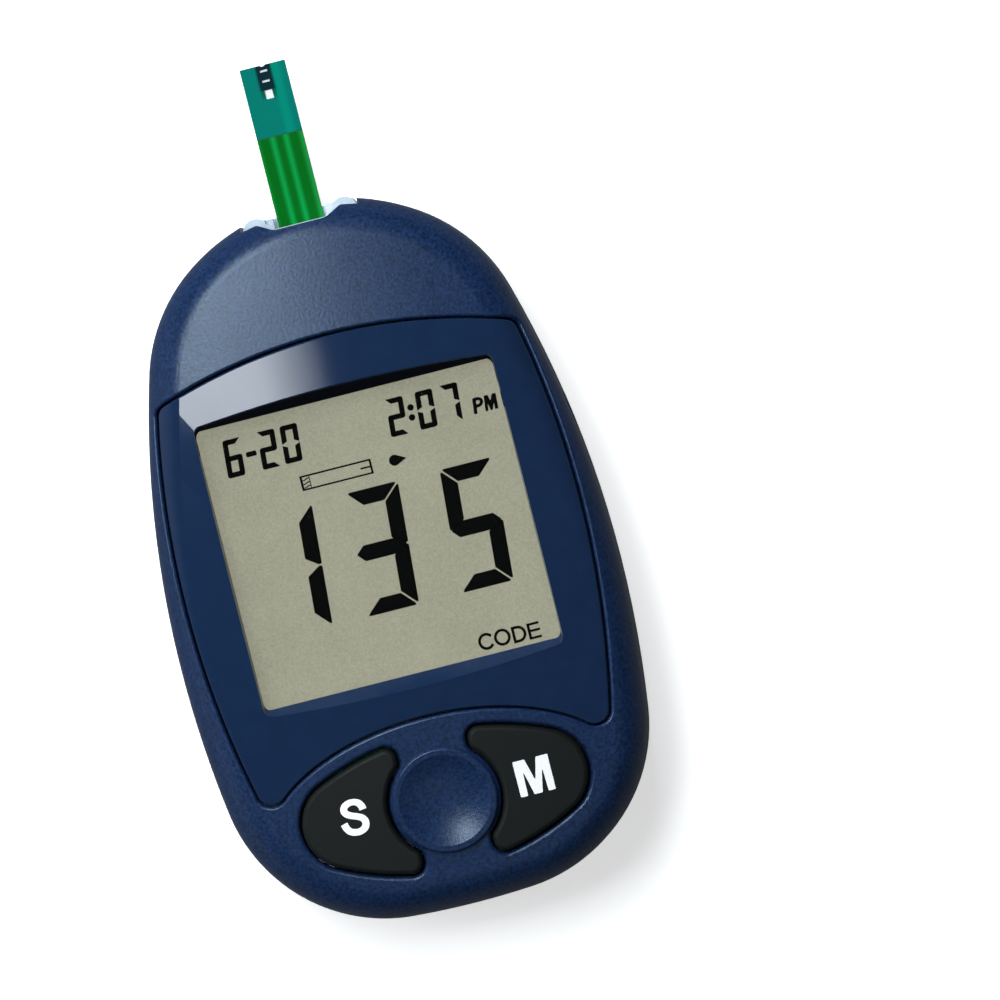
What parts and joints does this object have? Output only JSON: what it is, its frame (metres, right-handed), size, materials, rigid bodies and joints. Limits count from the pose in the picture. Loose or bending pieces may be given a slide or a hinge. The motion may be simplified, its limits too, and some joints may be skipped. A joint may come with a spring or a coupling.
{
  "type": "blood glucose meter",
  "caption": "Egg-shaped handheld blood glucose meter with a gloss display panel, leaf-shaped keys round a dish, and a test strip in its end port.",
  "frame": {"origin": "middle of the housing's length and width, on its flat rear face", "axes": "+Z out of the display, +Y towards the strip port, +X to the user's right"},
  "size_m": [0.065, 0.1242, 0.0207],
  "materials": {
    "shell_navy": "fine moulded texture, satin",
    "panel_gloss": "polished, high gloss",
    "window_clear": "polished clear acrylic",
    "display_glass": "polished glass with polariser film",
    "display_backing": "matt reflector film",
    "tray_white": "moulded",
    "zebra_elastomer": "layered silicone",
    "key_rubber": "soft matt silicone",
    "carbon_pill": "carbon filled",
    "keypad_silicone": "translucent silicone sheet",
    "board_green": "solder mask over glass epoxy",
    "chip_black": "moulded epoxy",
    "plated_steel": "plated",
    "ceramic_tan": "sintered",
    "port_ice": "translucent ice tint",
    "connector_black": "moulded",
    "contact_gold": "gold flash over spring copper",
    "strip_white": "polyester film",
    "strip_teal": "printed film",
    "strip_green": "printed film",
    "strip_carbon": "screen printed carbon and silver",
    "chip_key_grey": "moulded",
    "door_navy": "fine moulded texture, satin",
    "cell_steel": "nickel plated",
    "screw_steel": "zinc plated"
  },
  "bodies": {
    "housing": {"front_shell": "shell_navy", "rear_shell": "shell_navy", "display_bezel": "panel_gloss", "window_lens": "window_clear", "lcd_front_glass": "display_glass", "lcd_rear_glass": "display_glass", "lcd_reflector": "display_backing", "lcd_frame": "tray_white", "zebra_strip_upper": "zebra_elastomer", "zebra_strip_lower": "zebra_elastomer", "keypad_sheet": "keypad_silicone", "main_board": "board_green", "microcontroller": "chip_black", "sensor_amplifier": "chip_black", "timing_crystal": "plated_steel", "chip_resistors": "ceramic_tan", "buzzer": "chip_black", "strip_guide": "port_ice", "strip_connector": "connector_black", "strip_contacts": "contact_gold", "code_chip_socket": "connector_black", "code_chip_pins": "contact_gold", "data_socket": "connector_black", "coin_cell": "cell_steel", "battery_contact_plus": "plated_steel", "battery_contact_minus": "plated_steel", "housing_screws": "screw_steel", "board_screws": "screw_steel"},
    "left_key": {"left_key": "key_rubber", "left_key_pill": "carbon_pill"},
    "right_key": {"right_key": "key_rubber", "right_key_pill": "carbon_pill"},
    "test_strip": {"strip_base": "strip_white", "strip_tip_film": "strip_teal", "strip_print_film": "strip_green", "strip_tracks": "strip_carbon"},
    "code_chip": {"code_chip": "chip_key_grey"},
    "battery_door": {"battery_door": "door_navy"}
  },
  "joints": [
    {"name": "left_key_press", "type": "slide", "parent": "housing", "child": "left_key", "axis": [0, 0, -1], "range_m": [0, 0.0007], "stiffness_N_per_m": 1800},
    {"name": "right_key_press", "type": "slide", "parent": "housing", "child": "right_key", "axis": [0, 0, -1], "range_m": [0, 0.0007], "stiffness_N_per_m": 1800},
    {"name": "test_strip_pull", "type": "slide", "parent": "housing", "child": "test_strip", "axis": [0, 1, 0], "range_m": [0, 0.016]},
    {"name": "code_chip_pull", "type": "slide", "parent": "housing", "child": "code_chip", "axis": [-1, 0, 0], "range_m": [0, 0.013]},
    {"name": "battery_door_hinge", "type": "hinge", "parent": "housing", "child": "battery_door", "pos_m": [0, -0.0028, 0.00145], "axis": [1, 0, 0], "range_deg": [0, 90]}
  ]
}
